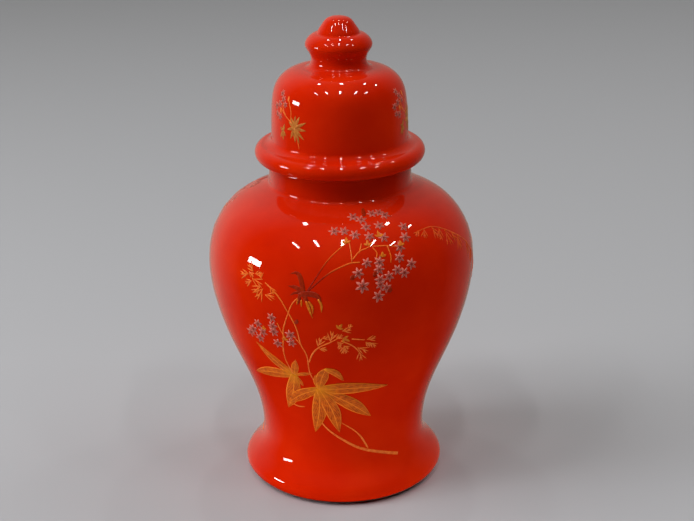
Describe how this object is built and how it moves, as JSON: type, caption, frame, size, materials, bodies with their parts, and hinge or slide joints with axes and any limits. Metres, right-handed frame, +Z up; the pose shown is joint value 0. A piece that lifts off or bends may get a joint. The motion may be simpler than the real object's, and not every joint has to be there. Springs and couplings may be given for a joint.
{
  "type": "ginger jar",
  "caption": "Lidded ginger jar with a spreading foot, full belly, domed lid with rolled flange and round knob, gilt leaf sprays.",
  "frame": {"origin": "centre of the foot ring's standing face", "axes": "+Z up along the jar's axis of revolution, -Y towards the side with the large leaf spray, +X to its right"},
  "size_m": [0.145, 0.145, 0.26],
  "materials": {
    "red_glaze": "gloss",
    "white_glaze": "gloss",
    "bare_china": "matte",
    "gilding": "satin",
    "lilac_enamel": "satin"
  },
  "bodies": {
    "jar": {"jar_body": "red_glaze"},
    "lid": {"lid": "red_glaze", "lid_knob": "red_glaze"}
  },
  "joints": [
    {"name": "lid_lift", "type": "slide", "parent": "jar", "child": "lid", "axis": [0, 0, 1], "range_m": [0, 0.08]}
  ]
}
